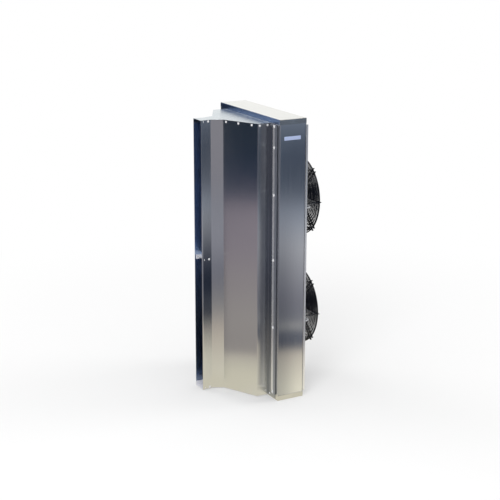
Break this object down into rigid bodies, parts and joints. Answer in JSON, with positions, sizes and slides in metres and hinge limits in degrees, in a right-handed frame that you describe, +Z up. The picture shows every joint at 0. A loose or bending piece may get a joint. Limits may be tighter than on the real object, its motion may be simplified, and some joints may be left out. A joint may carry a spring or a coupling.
{
  "type": "air curtain",
  "caption": "Upright air curtain: folded-sheet casing with axial fans in wire baskets behind and a plenum in front that narrows to a full-height outlet slot.",
  "frame": {"origin": "centre of the base cap's underside, on the floor", "axes": "+Z up along the unit's height, the outlet slot faces -Y, the fans are on +Y, +X is to the right seen from the outlet side"},
  "size_m": [0.656, 0.6065, 1.55],
  "materials": {
    "galvanised_sheet": "bright rolled sheet, satin with vertical grain",
    "inner_sheet": "plain zinc-coated sheet",
    "black_wire": "black powder coat on steel wire",
    "motor_black": "black paint, satin",
    "laminations": "lacquered laminations",
    "bearing_steel": "ground steel",
    "lead_jacket": "grey cable jacket",
    "grey_plastic": "moulded, fine texture",
    "black_plastic": "moulded nylon"
  },
  "bodies": {
    "casing": {"base_cap": "galvanised_sheet", "top_cap": "galvanised_sheet", "left_side_panel": "galvanised_sheet", "right_side_panel": "galvanised_sheet", "front_frame": "galvanised_sheet", "rear_frame": "galvanised_sheet", "rear_panel": "galvanised_sheet", "bay_partition": "inner_sheet", "centre_brace": "inner_sheet", "plenum_right_wall": "galvanised_sheet", "plenum_left_wall": "galvanised_sheet", "plenum_top_lid": "galvanised_sheet", "plenum_bottom_lid": "galvanised_sheet", "nozzle_spacer": "galvanised_sheet", "clamp_strip": "galvanised_sheet", "mains_gland": "black_plastic", "terminal_box": "grey_plastic", "terminal_box_lid": "grey_plastic", "terminal_block": "black_plastic", "lower_fan_bell_mouth": "inner_sheet", "lower_fan_guard": "black_wire", "lower_fan_motor_base": "motor_black", "lower_fan_stator": "laminations", "lower_fan_rear_bearing": "bearing_steel", "lower_fan_front_bearing": "bearing_steel", "lower_fan_motor_lead": "lead_jacket", "lower_fan_lead_gland": "black_plastic", "upper_fan_bell_mouth": "inner_sheet", "upper_fan_guard": "black_wire", "upper_fan_motor_base": "motor_black", "upper_fan_stator": "laminations", "upper_fan_rear_bearing": "bearing_steel", "upper_fan_front_bearing": "bearing_steel", "upper_fan_motor_lead": "lead_jacket", "upper_fan_lead_gland": "black_plastic"},
    "lower_rotor": {"lower_fan_shaft": "bearing_steel", "lower_fan_rotor_cup": "motor_black", "lower_fan_impeller": "motor_black"},
    "upper_rotor": {"upper_fan_shaft": "bearing_steel", "upper_fan_rotor_cup": "motor_black", "upper_fan_impeller": "motor_black"}
  },
  "joints": [
    {"name": "lower_fan_spin", "type": "hinge", "parent": "casing", "child": "lower_rotor", "pos_m": [0, 0.12, 0.423], "axis": [0, 1, 0], "continuous": true},
    {"name": "upper_fan_spin", "type": "hinge", "parent": "casing", "child": "upper_rotor", "pos_m": [0, 0.12, 1.059], "axis": [0, 1, 0], "continuous": true}
  ]
}
